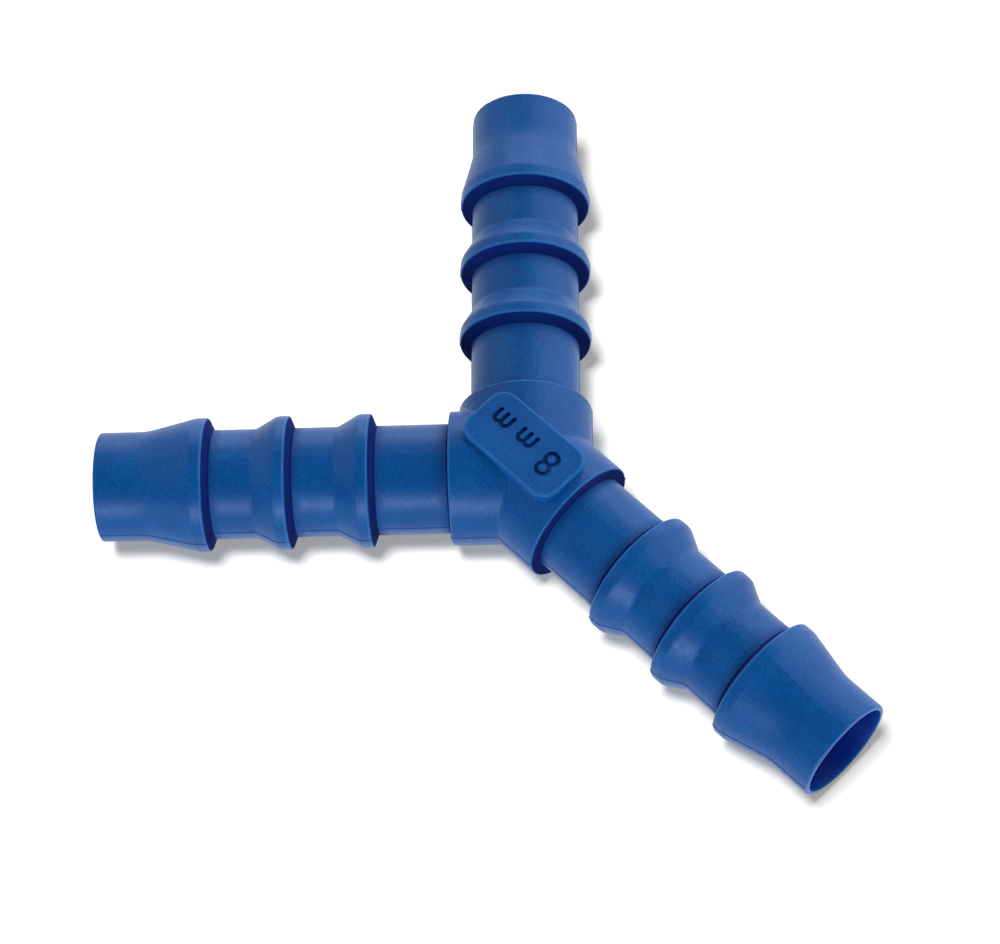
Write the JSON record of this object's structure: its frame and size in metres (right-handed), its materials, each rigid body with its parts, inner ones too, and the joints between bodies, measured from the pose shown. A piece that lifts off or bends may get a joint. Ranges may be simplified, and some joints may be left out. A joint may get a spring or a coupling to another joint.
{
  "type": "tubing y connector",
  "caption": "Y-shaped moulded plastic tubing connector with barbed arms, which joins or splits hose lines, with a raised pad for its size mark.",
  "frame": {"origin": "centre of the footprint, on the plane that the connector lies on", "axes": "+X out of the stem, +Y towards the left branch, +Z out of the marked pad"},
  "size_m": [0.056, 0.0496, 0.0102],
  "materials": {
    "blue_plastic": "satin moulded"
  },
  "bodies": {
    "root": {"y_connector": "blue_plastic"}
  },
  "joints": []
}
